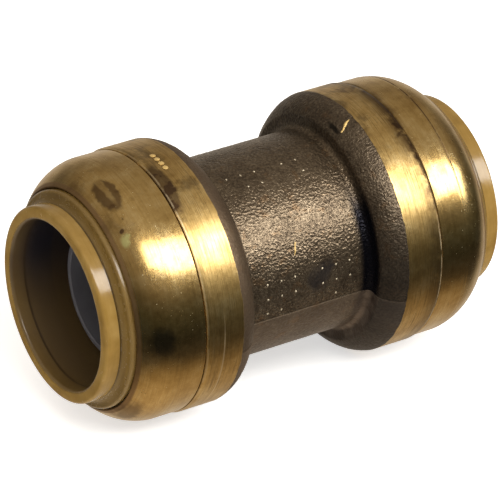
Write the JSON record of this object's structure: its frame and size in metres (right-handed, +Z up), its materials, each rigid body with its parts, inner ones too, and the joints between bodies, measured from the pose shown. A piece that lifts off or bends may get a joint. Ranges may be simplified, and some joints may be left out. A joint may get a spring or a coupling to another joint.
{
  "type": "push fit coupling",
  "caption": "Straight brass push fit coupling with a rough cast waist, turned end caps and sliding plastic release collars at both ends.",
  "frame": {"origin": "centre of the coupling, on its axis, midway between the two mouths", "axes": "+X along the axis to the right mouth; +Z up, with the coupling lying on its side"},
  "size_m": [0.06, 0.0354, 0.0354],
  "materials": {
    "cast_brass": "rough as cast and dull brown on the waist, turned bright on the flange rims",
    "turned_brass": "satin, turned",
    "collar_plastic": "moulded, glossy tan",
    "spring_steel": "bright stamped stainless",
    "protector_plastic": "moulded, matt",
    "seal_rubber": "smooth, greased",
    "liner_plastic": "moulded, translucent grey white"
  },
  "bodies": {
    "fitting": {"cast_body": "cast_brass", "left_end_cap": "turned_brass", "left_grab_ring": "spring_steel", "left_o_ring_protector": "protector_plastic", "left_o_ring": "seal_rubber", "left_tube_liner": "liner_plastic", "right_end_cap": "turned_brass", "right_grab_ring": "spring_steel", "right_o_ring_protector": "protector_plastic", "right_o_ring": "seal_rubber", "right_tube_liner": "liner_plastic"},
    "left_collar": {"left_release_collar": "collar_plastic"},
    "right_collar": {"right_release_collar": "collar_plastic"}
  },
  "joints": [
    {"name": "left_collar_press", "type": "slide", "parent": "fitting", "child": "left_collar", "axis": [1, 0, 0], "range_m": [0, 0.0022], "stiffness_N_per_m": 400, "deforming": ["left_grab_ring"]},
    {"name": "right_collar_press", "type": "slide", "parent": "fitting", "child": "right_collar", "axis": [-1, 0, 0], "range_m": [0, 0.0022], "stiffness_N_per_m": 400, "deforming": ["right_grab_ring"]}
  ]
}
